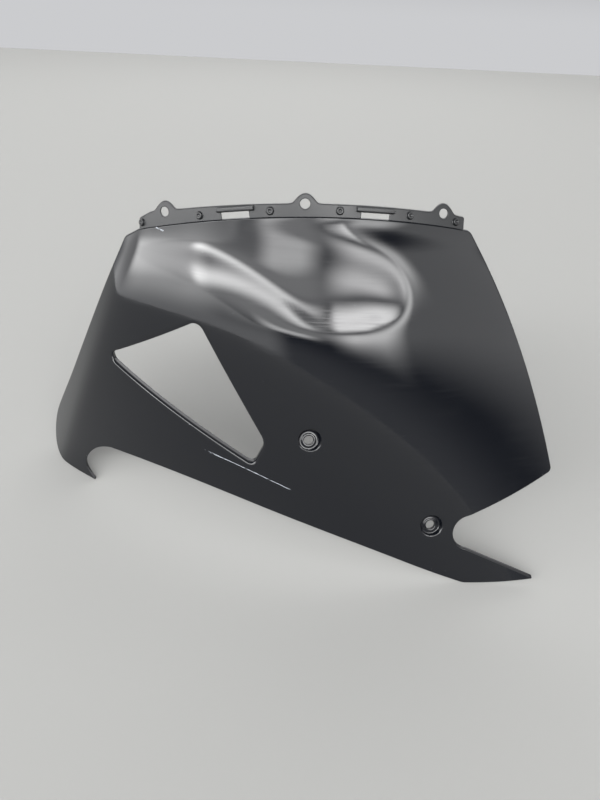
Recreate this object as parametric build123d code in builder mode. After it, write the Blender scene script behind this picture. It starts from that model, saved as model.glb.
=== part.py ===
"""Side panel of a motorcycle's lower fairing: one thin plastic moulding, in millimetres.

x runs along the top flange towards the back of the machine, y points inwards to the engine
and z points up. The origin is the centre of the middle tab's hole, on the flange's outer face.
"""
import math
import os

from build123d import *

# Thickness of the moulding
wall = 3.0
flange_wall = 2.6
flange_setback = 1.8
overlap = 5.0

# The outer skin: a sheet ruled from a bent top line to a flatter bottom line
panel_height = 300.0
top_bend = 254.0
foot_out = 67.5
foot_turn = 0.272
foot_bend = 667.0
belly = 8.0

# The scoop under the flange: a crease along the front lobe, a curved ridge behind and a sill below
shoulder = 13.3
shoulder_fade = 22.0
crease_top = 34.0
crease_start = 110.0
crease_bow = 0.0033
ridge_rear = 90.0
ridge_mid = 68.0
ridge_bow = 0.0145
sill = 92.0
scoop_round = 24.0
scoop_roll = 20.0
scoop_edge = 12.0

# The front edge rolls back round the nose
nose_line = 128.0
nose_rake = 0.43
nose_turn = 0.9
nose_round = 10.0

# Outline of the skin, seen along y
edge_drop = 8.8
edge_bend = 480.0
edge_mid = 21.5
strip_front = -140.0
strip_rear = 131.0
front_top = (-157.0, -47.0)
rear_top_x = 137.0
rear_belly = (191.5, -113.0)
rear_corner = (230.0, -209.0)
notch_upper = (156.0, -240.0)
notch_root = (143.5, -256.0)
notch_lower = (156.0, -269.0)
tail_tip = (220.0, 6.5 - panel_height)
tail_sole = (185.0, 2.0 - panel_height)
toe = (157.0, -panel_height)
sole = [(128.0, -292.5), (88.0, -281.0), (-10.0, -257.5), (-86.0, -246.0), (-150.0, -245.0)]
arch_top = (-183.0, -248.0)
arch_round = (-209.5, -265.0)
arch_back = (-218.5, -284.0)
foot_rear = (-206.0, -panel_height)
nose_foot = (-250.0, -panel_height)
nose_round_low = (-266.0, 5.0 - panel_height)
nose_round_high = (-270.5, 24.0 - panel_height)
nose_belly = (-259.0, 56.0 - panel_height)
nose_top = (-230.0, 110.0 - panel_height)
corner = 3.0

# Vent
vent_corners = [(-177.5, -148.5), (-84.5, -93.5), (-25.0, -189.5), (-35.5, -213.0)]
vent_rounds = [6.0, 8.0, 14.0, 6.0]
vent_depth = 6.5
vent_roll = 1.5
tuck = 1.2

# Tabs, studs, ribs and slots of the flange
strip_bend = 511.0
strip_mid = 17.7
front_shoulder = -129.0
front_drop = 3.8
tab_spots = [(-115.0, -17.7), (0.0, 0.0), (112.2, -8.2)]
tab_hole = 8.0
tab_half = 12.0
tab_top = 7.3
tab_shoulder = (6.3, 4.2)
tab_sink = 0.8
stud_size = 5.8
stud_height = 2.0
stud_rise = 4.4
stud_places = [-136.6, -84.1, -27.0, 27.3, 83.6, 123.3]
rib_places = [-54.7, 55.4]
rib_length = 31.0
rib_width = 3.6
rib_height = 2.6
rib_drop = 2.5
slot_length = 22.6
slot_tuck = 1.2
slot_cover = 0.7

# Recessed fixing points: both bolts are parallel
fix_front = (12.5, -180.0)
fix_rear = (123.5, -249.0)
fix_lean = 25.0
fix_turn = 6.0
fix_hole = 8.0
recess_floor = 16.4
recess_depth = 3.6
recess_draft = 22.0
collar_size = 12.0
collar_height = 0.8
boss_wall = 2.4

# Grid of the skin's points, and how far cutters run past the moulding
reach = 420.0
pitch = 12.0
spare = 2
inward = (0, 1, 0)
front_view = Plane.XZ.offset(-reach)
base = (Align.CENTER, Align.CENTER, Align.MIN)


def soft_bend(t, width):
    """Nought before t = 0 and t after it, rounded over the width."""
    return (t + math.hypot(t, width)) / 2


def soft_least(a, b, width):
    """The lesser of two values, rounded where they are equal."""
    return (a + b - math.hypot(a - b, width)) / 2


def edge_line(x):
    """Height of the skin's top edge, an arch."""
    return -edge_drop + (edge_mid**2 - (x - edge_mid) ** 2) / (2 * edge_bend)


def strip_line(x):
    """Height of the flange's top edge between the tabs, an arch."""
    return (strip_mid**2 - (x - strip_mid) ** 2) / (2 * strip_bend)


def skin_depth(x, z):
    """Depth of the skin's outer face at a point of the front view."""
    down = -z / panel_height
    top = x * x / (2 * top_bend) - flange_setback
    foot = -foot_out - foot_turn * x + x * x / (2 * foot_bend)
    depth = (1 - down) * top + down * foot - 4 * belly * down * (1 - down)
    along = max(x + crease_start, 0.0)
    over_crease = (z + crease_top + crease_bow * along**2) / math.hypot(1, 2 * crease_bow * along)
    up = z + ridge_mid
    before_ridge = (ridge_rear - ridge_bow * up**2 - x) / math.hypot(1, 2 * ridge_bow * up)
    lobe = 1 - math.exp(-soft_bend(-over_crease, scoop_edge) / scoop_roll)
    within = soft_least(before_ridge, z + sill, scoop_round)
    rim = math.exp(-soft_bend(within, scoop_edge) / scoop_roll)
    under = max(edge_line(x) - z, 0.0)
    fade = under**2 / (under**2 + shoulder_fade**2)
    depth -= shoulder * (1 - (1 - lobe) * (1 - rim)) * fade
    return depth + nose_turn * soft_bend(nose_rake * z - nose_line - x, nose_round)


def sheet(sketch, back):
    """A smooth face behind a sketch, through grid points of the skin moved back along y."""
    box = sketch.bounding_box()
    first, last = math.floor(box.min.X / pitch) - spare, math.ceil(box.max.X / pitch) + spare
    low, high = math.floor(box.min.Z / pitch) - spare, math.ceil(box.max.Z / pitch) + spare
    grid = []
    for x in [pitch * i for i in range(first, last + 1)]:
        heights = [pitch * j for j in range(low, high + 1)]
        grid.append([(x, skin_depth(x, z) + back, z) for z in heights])
    return Face.make_surface_from_array_of_points(grid)


def flange_plane(x, z):
    """A plane on the flange's outer face, its z axis pointing out of the machine."""
    small = 0.1
    slope_x = (skin_depth(x + small, z) - skin_depth(x - small, z)) / (2 * small)
    slope_z = (skin_depth(x, z + small) - skin_depth(x, z - small)) / (2 * small)
    spot = (x, skin_depth(x, z) + flange_setback, z)
    fall = (edge_line(x + small) - edge_line(x - small)) / (2 * small)
    along = (1, slope_x + slope_z * fall, fall)
    return Plane(origin=spot, x_dir=along, z_dir=(slope_x, -1, slope_z))


def fixing_plane(x, z):
    """A plane on the recess floor of a fixing point, its z axis along the bolt, outwards."""
    lean, turn = math.radians(fix_lean), math.radians(fix_turn)
    out = (math.sin(turn) * math.cos(lean), -math.cos(turn) * math.cos(lean), math.sin(lean))
    skin = (x, skin_depth(x, z), z)
    spot = tuple(s - recess_depth * o for s, o in zip(skin, out))
    return Plane(origin=spot, x_dir=(math.cos(turn), math.sin(turn), 0), z_dir=out)


fix_planes = [fixing_plane(*fix_front), fixing_plane(*fix_rear)]
tab_planes = [flange_plane(x, z) for x, z in tab_spots]

# Skin outline
with BuildSketch(front_view) as outline:
    strip_start = (strip_front, edge_line(strip_front))
    rear_top = (rear_top_x, edge_line(rear_top_x))
    middle = (strip_front + rear_top_x) / 2
    with BuildLine():
        ThreePointArc(strip_start, (middle, edge_line(middle)), rear_top)
        ThreePointArc(rear_top, rear_belly, rear_corner)
        Line(rear_corner, notch_upper)
        ThreePointArc(notch_upper, notch_root, notch_lower)
        Line(notch_lower, tail_tip)
        ThreePointArc(tail_tip, tail_sole, toe)
        Spline(toe, *sole, arch_top)
        Spline(arch_top, arch_round, arch_back, foot_rear)
        Line(foot_rear, nose_foot)
        rake = (nose_top[0] - front_top[0], nose_top[1] - front_top[1])
        nose = [nose_top, nose_belly, nose_round_high, nose_round_low, nose_foot]
        Spline(*nose, tangents=[rake, (1, 0)])
        Polyline(nose_top, front_top, strip_start)
    make_face()
    for place in (front_top, rear_top, rear_corner):
        fillet(outline.vertices().sort_by_distance(place)[0], corner)

# Vent outline and the ring behind it
with BuildSketch(front_view) as vent:
    with BuildLine():
        Polyline(*vent_corners, close=True)
    make_face()
    for place, size in zip(vent_corners, vent_rounds):
        fillet(vent.vertices().sort_by_distance(place)[0], size)
with BuildSketch(front_view) as vent_ring:
    add(vent.sketch)
    offset(amount=wall)
    add(vent.sketch, mode=Mode.SUBTRACT)

# Flange outline: a strip that falls at its front end, with three bell-shaped tabs
with BuildSketch(front_view) as strip:
    middle = (strip_front + strip_rear) / 2
    start = (strip_front, strip_line(strip_front) - front_drop)
    upper = [(x, strip_line(x)) for x in (front_shoulder, edge_mid, strip_rear)]
    lower = [(x, edge_line(x) - overlap) for x in (strip_front, middle, strip_rear)]
    with BuildLine():
        ThreePointArc(*upper)
        ThreePointArc(*lower)
        Polyline(upper[0], start, lower[0])
        Line(upper[2], lower[2])
    make_face()
    for x, z in tab_spots:
        side, up = tab_shoulder
        bell = [(-tab_half, -tab_sink), (-side, up), (0, tab_top), (side, up), (tab_half, -tab_sink)]
        spots = [(x + a, strip_line(x + a) + b) for a, b in bell]
        feet = [(x + a, edge_line(x + a)) for a in (tab_half, -tab_half)]
        with BuildLine():
            Spline(*spots, tangents=[(1, 0.3), (1, -0.3)])
            Polyline(spots[-1], *feet, spots[0])
        make_face()

# Stiffening behind the skin
with BuildPart() as vent_lip:
    thicken(to_thicken=sheet(vent_ring.sketch, tuck), amount=vent_depth - tuck, normal_override=inward)
    extrude(vent_ring.sketch, amount=2 * reach, mode=Mode.INTERSECT)

draft = math.tan(math.radians(recess_draft))
floor_radius = recess_floor / 2
recess_height = 4 * recess_depth
bosses = []
for (x, z), plane in zip((fix_front, fix_rear), fix_planes):
    with BuildSketch(front_view) as patch:
        with Locations((x, z)):
            Circle(2 * recess_floor)
    with BuildPart() as boss:
        depth = recess_depth + wall + recess_floor / 2
        thicken(to_thicken=sheet(patch.sketch, tuck), amount=depth, normal_override=inward)
        with Locations(plane.offset(-wall)):
            small = floor_radius + boss_wall
            tall = wall + recess_height
            Cone(small, small + draft * tall, tall, align=base, mode=Mode.INTERSECT)
    bosses.append(boss.part)

# Top flange, with slots that start at the skin's top edge and end behind the ribs
with BuildPart() as flange:
    back = flange_setback
    thicken(to_thicken=sheet(strip.sketch, back), amount=flange_wall, normal_override=inward)
    extrude(strip.sketch, amount=2 * reach, mode=Mode.INTERSECT)
    for x in rib_places:
        fall = math.degrees(math.atan((edge_mid - x) / edge_bend))
        low = edge_line(x) - slot_tuck
        high = strip_line(x) - rib_drop - rib_width / 2 + slot_cover
        with BuildSketch(front_view):
            with Locations((x, (low + high) / 2)):
                Rectangle(slot_length, high - low, rotation=fall)
        extrude(amount=2 * reach, mode=Mode.SUBTRACT)

# Studs and ribs of the flange
root = flange_wall / 3
with BuildPart() as details:
    for x in stud_places:
        with Locations(flange_plane(x, edge_line(x) + stud_rise).offset(-root)):
            Cylinder(stud_size / 2, stud_height + root, align=base)
    for x in rib_places:
        with Locations(flange_plane(x, strip_line(x) - rib_drop).offset(-root)):
            Box(rib_length, rib_width, rib_height + root, align=base)

# What is cut away: the vent, the recesses with their holes and the tabs' holes
with BuildPart() as cuts:
    extrude(vent.sketch, amount=2 * reach)
    for plane in fix_planes:
        with Locations(plane):
            top = floor_radius + draft * recess_height
            Cone(floor_radius, top, recess_height, align=base)
            Cylinder(collar_size / 2, collar_height, align=base, mode=Mode.SUBTRACT)
            Cylinder(fix_hole / 2, recess_height)
    for plane in tab_planes:
        with Locations(plane):
            Cylinder(tab_hole / 2, 4 * flange_wall)

# The whole moulding
with BuildPart() as fairing_panel:
    thicken(to_thicken=sheet(outline.sketch, 0.0), amount=wall, normal_override=inward)
    extrude(outline.sketch, amount=2 * reach, mode=Mode.INTERSECT)
    add([flange.part, vent_lip.part, *bosses, details.part], clean=False)
    add(cuts.part, mode=Mode.SUBTRACT, clean=False)
    box = vent.sketch.bounding_box()
    rim = []
    for edge in fairing_panel.edges():
        spot = edge.position_at(0.5)
        level = abs(spot.Y - skin_depth(spot.X, spot.Z)) < vent_roll / 10
        if level and box.min.X - 1 < spot.X < box.max.X + 1 and box.min.Z - 1 < spot.Z < box.max.Z + 1:
            rim.append(edge)
    fillet(rim, vent_roll)

fairing_panel.part.label = "fairing_panel"

os.makedirs("parts", exist_ok=True)
export_step(fairing_panel.part, "parts/fairing_panel.step")
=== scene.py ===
"""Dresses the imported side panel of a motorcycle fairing.

Lengths in the shape functions are millimetres in the panel's own frame: x runs to the rear,
y points inwards to the engine and z points up. Meshes are written in metres.
"""
import math

import bpy
import numpy as np
from mathutils import Matrix, Vector
from mathutils.geometry import delaunay_2d_cdt


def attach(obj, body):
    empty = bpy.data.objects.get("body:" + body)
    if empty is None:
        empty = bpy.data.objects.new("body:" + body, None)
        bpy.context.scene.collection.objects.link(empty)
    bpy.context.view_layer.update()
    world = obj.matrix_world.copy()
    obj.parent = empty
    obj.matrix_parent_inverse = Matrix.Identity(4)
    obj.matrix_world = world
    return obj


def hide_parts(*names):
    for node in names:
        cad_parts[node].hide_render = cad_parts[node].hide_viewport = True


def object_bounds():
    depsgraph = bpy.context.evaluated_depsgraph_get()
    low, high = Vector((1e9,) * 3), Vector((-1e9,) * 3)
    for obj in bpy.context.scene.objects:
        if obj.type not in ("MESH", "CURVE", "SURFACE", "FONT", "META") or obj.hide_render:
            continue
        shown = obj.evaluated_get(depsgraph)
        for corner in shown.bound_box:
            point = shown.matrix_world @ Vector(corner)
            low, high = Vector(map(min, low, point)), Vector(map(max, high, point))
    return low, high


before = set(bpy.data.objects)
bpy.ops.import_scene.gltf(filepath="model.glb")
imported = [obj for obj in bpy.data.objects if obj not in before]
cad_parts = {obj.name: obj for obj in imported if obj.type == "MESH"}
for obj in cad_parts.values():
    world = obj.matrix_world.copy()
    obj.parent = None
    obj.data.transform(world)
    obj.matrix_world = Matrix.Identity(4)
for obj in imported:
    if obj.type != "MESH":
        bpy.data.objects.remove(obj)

CAD_BOX = [list(corner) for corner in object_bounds()]

bl_info = {
    "name": "Fairing side panel",
    "version": (1, 0, 0),
    "blender": (4, 5, 0),
    "location": "View3D > Sidebar > Fairing",
    "description": "Builds the skin, flange, studs, ribs and studio of a motorcycle fairing panel",
    "category": "Add Mesh",
}

MM = 0.001
BODY = "root"
NODE = "fairing_panel"

# The outer skin: a sheet ruled from a bent top line to a flatter bottom line
PANEL_HEIGHT = 300.0
TOP_BEND = 254.0
FOOT_OUT = 67.5
FOOT_TURN = 0.272
FOOT_BEND = 667.0
BELLY = 8.0

# The scoop under the flange: a crease along the front lobe, a curved ridge behind and a sill below
SHOULDER = 13.3
SHOULDER_FADE = 22.0
CREASE_TOP = 34.0
CREASE_START = 110.0
CREASE_BOW = 0.0033
RIDGE_REAR = 90.0
RIDGE_MID = 68.0
RIDGE_BOW = 0.0145
SILL = 92.0
SCOOP_ROUND = 24.0
SCOOP_ROLL = 20.0
SCOOP_EDGE = 6.0

# The front edge rolls back round the nose
NOSE_LINE = 128.0
NOSE_RAKE = 0.43
NOSE_TURN = 0.9
NOSE_ROUND = 10.0

# Outline of the skin, seen along y
EDGE_DROP = 8.8
EDGE_BEND = 480.0
EDGE_MID = 21.5
STRIP_FRONT = -140.0
STRIP_REAR = 131.0
FRONT_TOP = (-157.0, -47.0)
REAR_TOP_X = 137.0
REAR_BELLY = (191.5, -113.0)
REAR_CORNER = (230.0, -209.0)
NOTCH_UPPER = (156.0, -240.0)
NOTCH_ROOT = (143.5, -256.0)
NOTCH_LOWER = (156.0, -269.0)
TAIL_TIP = (221.8, -294.2)
TAIL_SOLE = (185.0, -298.0)
TOE = (157.0, -300.0)
SOLE = [(128.0, -292.5), (88.0, -281.0), (-10.0, -257.5), (-86.0, -246.0), (-150.0, -245.0)]
ARCH_TOP = (-183.0, -248.0)
ARCH_ROUND = (-209.5, -265.0)
ARCH_BACK = (-218.5, -284.0)
FOOT_REAR = (-206.0, -300.0)
NOSE_FOOT = (-250.0, -300.0)
NOSE_LOW = (-266.0, -295.0)
NOSE_HIGH = (-270.5, -276.0)
NOSE_BELLY = (-259.0, -244.0)
NOSE_TOP = (-230.0, -190.0)

# Vent
VENT_CORNERS = [(-177.5, -148.5), (-84.5, -93.5), (-25.0, -189.5), (-35.5, -213.0)]
VENT_ROUNDS = [6.0, 8.0, 14.0, 6.0]

# Flange: its top edge, tabs, studs and ribs
FLANGE_SETBACK = 1.8
STRIP_BEND = 511.0
STRIP_MID = 17.7
STRIP_TUCK = 5.0
FRONT_SHOULDER = -129.0
FRONT_DROP = 3.8
TAB_SPOTS = [(-115.0, -17.7), (0.0, 0.0), (112.2, -8.2)]
TAB_HALF = 12.0
TAB_TOP = 7.3
TAB_SHOULDER = (6.3, 4.2)
TAB_SINK = 0.8
TAB_FOOT = 8.0
TAB_BLEND = 1.2
FLANGE_CUTS = [0.8, 1.6, 1.6, 0.8]
STUD_RISE = 4.4
STUD_PLACES = [-136.6, -84.1, -27.0, 27.3, 83.6, 123.3]
RIB_DROP = 2.5
RIB_PLACES = [-54.7, 55.4]
SLOT_LENGTH = 22.6
SLOT_TUCK = 1.2
SLOT_COVER = 0.7

# Recessed fixing points: both bolts are parallel
FIX_PLACES = [(12.5, -180.0), (123.5, -249.0)]
FIX_LEAN = 25.0
FIX_TURN = 6.0
RECESS_DRAFT = math.tan(math.radians(22.0))
RECESS_RING = 17.0
MEET_RANGE, MEET_HALVINGS = (-12.0, 25.0), 40
COLLAR_RADIUS = 6.0
COLLAR_HEIGHT = 0.8
BOSS_WALL = 2.4

# Small rounds: inside the edges, the vent's rim, the recesses, the studs and the ribs
SKIN_INNER_ROUND = 0.5
FLANGE_INNER_ROUND = 0.4
VENT_LIP_ROUND = 0.6
RECESS_ROLL = 1.3
RECESS_FOOT = 0.7
STUD_FOOT, STUD_ROLL = 0.4, 0.6
STUD_DIMPLE = [(1.45, 0.0), (1.6, 0.08), (1.75, 0.5), (1.95, 0.65)]
RIB_FOOT, RIB_ROLL, RIB_CORNER = 0.3, 0.6, 0.9
BUTTON_DRAFT = 0.15
SLOT_CORNER = 0.8

# Meshes: spacing along the outlines, points of a straight, an arc, a curve's piece and a circle,
# rows and clearance of the filling grid, and how many points are tested at a time
SKIN_STEP, VENT_STEP, FLANGE_STEP, RIB_STEP = 2.0, 1.6, 1.2, 0.8
STRAIGHT_POINTS, ARC_POINTS, CURVE_POINTS, STRIP_POINTS = 60, 160, 40, 1400
RECESS_SIDES, HOLE_SIDES, STUD_SIDES = 96, 48, 40
GRID_ROW, GRID_CLEAR = 0.866, 0.62
PART_SIZE = 1500

# Scratches, and one short dash that is a painted highlight at the top edge, seen along y: start, end,
# sag and width
SCRATCHES_AND_GLINT = [
    ((-77.2, -209.9), (-0.5, -229.8), 1.3, 0.75),
    ((-76.0, -211.3), (-30.0, -220.5), 0.8, 0.25),
    # Painted highlight: a light-grey dash just under the top edge that stands in for a glint of light
    ((-123.0, -30.4), (-115.8, -31.6), 0.0, 1.2),
]

# Patterns of the finishes: lengths, angles in degrees and heights of the bumps
# The noise that breaks lines also breaks the painted highlight dash
SCRATCH_AND_GLINT_BREAK = 3.0
DUST_CELL, DUST_SIZE, DUST_SHARE = 9.0, 0.7, 0.45
HAND_MARK = 45.0
WIPE_LENGTH, WIPE_WIDTH, WIPE_TURN = 60.0, 1.0, 4.0
RIPPLE_SIZE, RIPPLE_HEIGHT = 5.0, 0.003
SATIN_PATCH = 30.0
GRAIN_SIZE, GRAIN_HEIGHT = 1.2, 0.02
INNER_PATCH = 50.0
CUT_LENGTH, CUT_WIDTH, CUT_TURN, CUT_DEPTH = 40.0, 1.5, -14.0, 0.025

# Floor: half its side and how far it lies below the panel
FLOOR_REACH = 6000.0
FLOOR_GAP = 0.1

# Surroundings, by the upward part of a view's direction: from, to, light before and light after
SKY_AROUND = (-0.01, 0.16, 0.66, 0.15)
SKY_OVERHEAD = (0.77, 0.9, 0.0, 0.35)

# Softboxes: name, the azimuth and elevation of both ends, height in degrees, radiance and fades
LAMP_AIM, LAMP_DISTANCE = np.array((0.0, -0.03, -0.12)), 16.0
SOFTBOXES = [
    ("left_wall", (-122, 4), (-12, 4), 22, 1.6, (0.3, 0.25)),
    ("left_glow", (-96, 8), (-36, 12), 26, 3.8, (0.7, 1.0)),
    ("front_wall", (-60, 16), (16, 22), 32, 3.2, (0.6, 0.9)),
    ("crest_front_light", (-96, 14), (-42, 26), 25, 8.0, (0.4, 1.0)),
    ("crest_rear_light", (-54, 20), (4, 39), 18, 14.0, (0.24, 1.0)),
    ("scoop_light", (-26, 15.5), (2, 15.5), 11, 6.5, (0.7, 0.9)),
    ("sill_light", (2, 40.5), (19, 40.5), 25, 16.0, (0.45, 1.0)),
    ("ridge_light", (1, 18), (32, 18.5), 26, 10.5, (0.7, 0.9)),
    ("ridge_side_light", (12, 31), (50, 34), 30, 6.5, (0.8, 0.9)),
    ("right_wall", (20, 24), (90, 24), 40, 1.6, (0.25, 0.4)),
    ("rear_wall", (125, 16), (235, 16), 36, 1.9, (0.3, 0.5)),
]
# The lamp for the far floor has an aim and a distance of its own
BACK_LIGHT = ("back_light", (-90, 50), (90, 50), 70, 1.2, (0.6, 0.6),
              np.array((0.0, 3.5, -0.3)), 4.0)

# The picture's camera: place in millimetres and its right, down and forward directions
CAMERA_PLACE = (3.2136, -470.0, 126.795)
CAMERA_RIGHT = (0.99888156, 0.02588022, 0.03957065)
CAMERA_DOWN = (0.04728236, -0.54674241, -0.83596478)
CAMERA_FORWARD = (0.0, 0.8369008, -0.54735459)
CAMERA_FOCUS = 599.54
PICTURE_HEIGHT = 800.0
SENSOR = 36.0


def linear(colour):
    """Linear red, green and blue of an sRGB hex colour such as #0b0c0e."""
    values = np.array([int(colour[i:i + 2], 16) for i in (1, 3, 5)]) / 255
    low = values <= 0.04045
    return tuple(np.where(low, values / 12.92, ((values + 0.055) / 1.055) ** 2.4).tolist())


def soft_bend(t, width):
    """Nought before t = 0 and t after it, rounded over the width: half of t plus its hypotenuse."""
    return (t + np.hypot(t, width)) / 2


def soft_least(a, b, width):
    """The lesser of two values, rounded where they are equal."""
    return (a + b - np.hypot(a - b, width)) / 2


def edge_line(x):
    """Height of the skin's top edge: a parabola whose top lies at EDGE_MID."""
    return -EDGE_DROP + (EDGE_MID**2 - (x - EDGE_MID) ** 2) / (2 * EDGE_BEND)


def strip_line(x):
    """Height of the flange's top edge between the tabs: a parabola whose top lies at STRIP_MID."""
    return (STRIP_MID**2 - (x - STRIP_MID) ** 2) / (2 * STRIP_BEND)


def skin_depth(x, z):
    """Depth of the outer face at (x, z).

    A straight mix from the top parabola to the bottom parabola, less a belly, less a shoulder
    round the scoop, plus the roll round the nose. The shoulder grows from nought at a bowed crease
    as one less exp(-distance), and falls inside a curved ridge and a sill as exp(-distance). It
    fades to nought at the top edge.
    """
    down = -z / PANEL_HEIGHT
    top = x * x / (2 * TOP_BEND) - FLANGE_SETBACK
    foot = -FOOT_OUT - FOOT_TURN * x + x * x / (2 * FOOT_BEND)
    depth = (1 - down) * top + down * foot - 4 * BELLY * down * (1 - down)
    along = np.maximum(x + CREASE_START, 0.0)
    over_crease = (z + CREASE_TOP + CREASE_BOW * along**2) / np.hypot(1, 2 * CREASE_BOW * along)
    up = z + RIDGE_MID
    before_ridge = (RIDGE_REAR - RIDGE_BOW * up**2 - x) / np.hypot(1, 2 * RIDGE_BOW * up)
    lobe = 1 - np.exp(-soft_bend(-over_crease, SCOOP_EDGE) / SCOOP_ROLL)
    within = soft_least(before_ridge, z + SILL, SCOOP_ROUND)
    rim_part = np.exp(-soft_bend(within, SCOOP_EDGE) / SCOOP_ROLL)
    under = np.maximum(edge_line(x) - z, 0.0)
    fade = under**2 / (under**2 + SHOULDER_FADE**2)
    depth = depth - SHOULDER * (1 - (1 - lobe) * (1 - rim_part)) * fade
    return depth + NOSE_TURN * soft_bend(NOSE_RAKE * z - NOSE_LINE - x, NOSE_ROUND)


def slopes(x, z, small=0.05):
    """Slopes of the outer face along x and along z, from points a small step to each side."""
    along_x = (skin_depth(x + small, z) - skin_depth(x - small, z)) / (2 * small)
    along_z = (skin_depth(x, z + small) - skin_depth(x, z - small)) / (2 * small)
    return along_x, along_z


def lift(flat, through, back=0.0):
    """Points of the wall: (x, depth + back + through / cosine of the face's tilt, z)."""
    x, z = flat[..., 0], flat[..., 1]
    along_x, along_z = slopes(x, z)
    stretch = np.sqrt(1 + along_x**2 + along_z**2)
    return np.stack((x, skin_depth(x, z) + back + through * stretch, z), -1)


def outward(flat):
    """Unit normal of the outer face: (slope along x, -1, slope along z) scaled to length one."""
    along_x, along_z = slopes(flat[:, 0], flat[:, 1])
    return unit(np.stack((along_x, np.full_like(along_x, -1.0), along_z), -1))


def unit(vectors):
    """Vectors scaled to length one."""
    return vectors / np.linalg.norm(vectors, axis=-1, keepdims=True)


def straight(a, b):
    """A straight run of points from a to b."""
    return np.linspace(a, b, STRAIGHT_POINTS)


def arc_through(a, b, c):
    """Points of the circle's arc from a through b to c: equal angles round its centre."""
    a, b, c = np.array(a), np.array(b), np.array(c)
    sides = 2 * np.array([b - a, c - a])
    centre = np.linalg.solve(sides, np.array([b @ b - a @ a, c @ c - a @ a]))
    angles = [math.atan2(*(p - centre)[::-1]) for p in (a, b, c)]
    angles = np.unwrap(angles)
    radius = np.linalg.norm(a - centre)
    turn = np.linspace(angles[0], angles[2], ARC_POINTS)
    return centre + radius * np.stack((np.cos(turn), np.sin(turn)), -1)


def curve_through(points, tangents=None):
    """A smooth curve through points: cubic pieces over chord length with equal second derivatives
    where they meet. End tangents are given, or those of the parabola through three points."""
    p = np.array(points, float)
    gaps = np.linalg.norm(np.diff(p, axis=0), axis=1)
    steps = np.diff(p, axis=0) / gaps[:, None]
    if tangents is None:
        first = steps[0] - (steps[1] - steps[0]) * gaps[0] / (gaps[0] + gaps[1])
        last = steps[-1] + (steps[-1] - steps[-2]) * gaps[-1] / (gaps[-1] + gaps[-2])
    else:
        first, last = unit(np.array(tangents, float))
    count = len(p)
    system, known = np.eye(count), np.zeros((count, 2))
    known[0], known[-1] = first, last
    inner = np.arange(1, count - 1)
    system[inner, inner - 1] = gaps[1:]
    system[inner, inner] = 2 * (gaps[:-1] + gaps[1:])
    system[inner, inner + 1] = gaps[:-1]
    known[inner] = 3 * (gaps[1:, None] * steps[:-1] + gaps[:-1, None] * steps[1:])
    speed = np.linalg.solve(system, known)
    t = np.linspace(0, 1, CURVE_POINTS)[None, :, None]
    h = gaps[:, None, None]
    a, b = p[:-1, None], p[1:, None]
    va, vb = speed[:-1, None] * h, speed[1:, None] * h
    run = a + va * t + (3 * (b - a) - 2 * va - vb) * t**2 + (2 * (a - b) + va + vb) * t**3
    return np.vstack((run[:, :-1].reshape(-1, 2), p[-1:]))


def spread(path, start, end, spacing):
    """Points at even lengths along a path, with lengths left off at its start and end."""
    run = np.concatenate(([0], np.cumsum(np.linalg.norm(np.diff(path, axis=0), axis=1))))
    count = max(2, math.ceil((run[-1] - start - end) / spacing) + 1)
    at = np.linspace(start, run[-1] - end, count)
    return np.stack((np.interp(at, run, path[:, 0]), np.interp(at, run, path[:, 1])), -1)


def bend(a, corner, b, count, pull=1.0):
    """Points between a and b on a curve that is pulled to a corner, without its two ends: weights
    (1 - t) squared, 2 t (1 - t) times the pull and t squared, over their sum."""
    t = np.linspace(0, 1, count + 2)[1:-1].reshape((-1,) + (1,) * a.ndim)
    weights = (1 - t) ** 2, 2 * pull * t * (1 - t), t**2
    return (weights[0] * a + weights[1] * corner + weights[2] * b) / sum(weights)


def closed_path(pieces, cuts, spacing):
    """One closed path of pieces end to end. Each corner between two pieces is cut back by a length
    on both sides and bridged with a circle's arc, whose pull is the sine of half the angle."""
    runs = []
    for i, piece in enumerate(pieces):
        run = spread(piece, cuts[i - 1], cuts[i], spacing)
        nearest = spread(pieces[(i + 1) % len(pieces)], cuts[i], 0, spacing)[0]
        legs = unit(np.stack((run[-1] - piece[-1], nearest - piece[-1])))
        pull = math.sqrt(max(0.0, (1 - float(legs[0] @ legs[1])) / 2))
        count = max(2, math.ceil(2.2 * cuts[i] / spacing))
        runs += [run, bend(run[-1], piece[-1], nearest, count, pull)]
    path = np.vstack(runs)
    apart = np.linalg.norm(path - np.roll(path, 1, 0), axis=1)
    return path[apart > 0.02 * spacing]


def turned(path, left=True):
    """The path in the sense that keeps the plastic on its left: round the outside, or round a hole."""
    ahead = np.roll(path, -1, 0)
    area = np.sum(path[:, 0] * ahead[:, 1] - ahead[:, 0] * path[:, 1])
    return path if (area > 0) == left else path[::-1]


def leftward(path):
    """Unit directions at right angles to a closed path, to its left."""
    along = unit(np.roll(path, -1, 0) - path) + unit(path - np.roll(path, 1, 0))
    along = unit(along)
    return np.stack((-along[:, 1], along[:, 0]), -1)


def inside(points, rings):
    """True where a line to the right of a point crosses the rings an odd number of times."""
    a = np.vstack(rings)
    b = np.vstack([np.roll(ring, -1, 0) for ring in rings])
    results = []
    for part in np.array_split(points, max(1, len(points) // PART_SIZE)):
        x, z = part[:, :1], part[:, 1:]
        straddles = (a[:, 1] > z) != (b[:, 1] > z)
        rise = np.where(b[:, 1] == a[:, 1], 1.0, b[:, 1] - a[:, 1])
        crossing = a[:, 0] + (b[:, 0] - a[:, 0]) * (z - a[:, 1]) / rise
        results.append((straddles & (x < crossing)).sum(1) % 2 == 1)
    return np.concatenate(results)


def clearance(points, border):
    """Distance from each point to the nearest border point."""
    results = []
    for part in np.array_split(points, max(1, len(points) // PART_SIZE)):
        apart = part[:, None] - border[None]
        results.append(np.sqrt((apart**2).sum(-1).min(1)))
    return np.concatenate(results)


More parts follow.
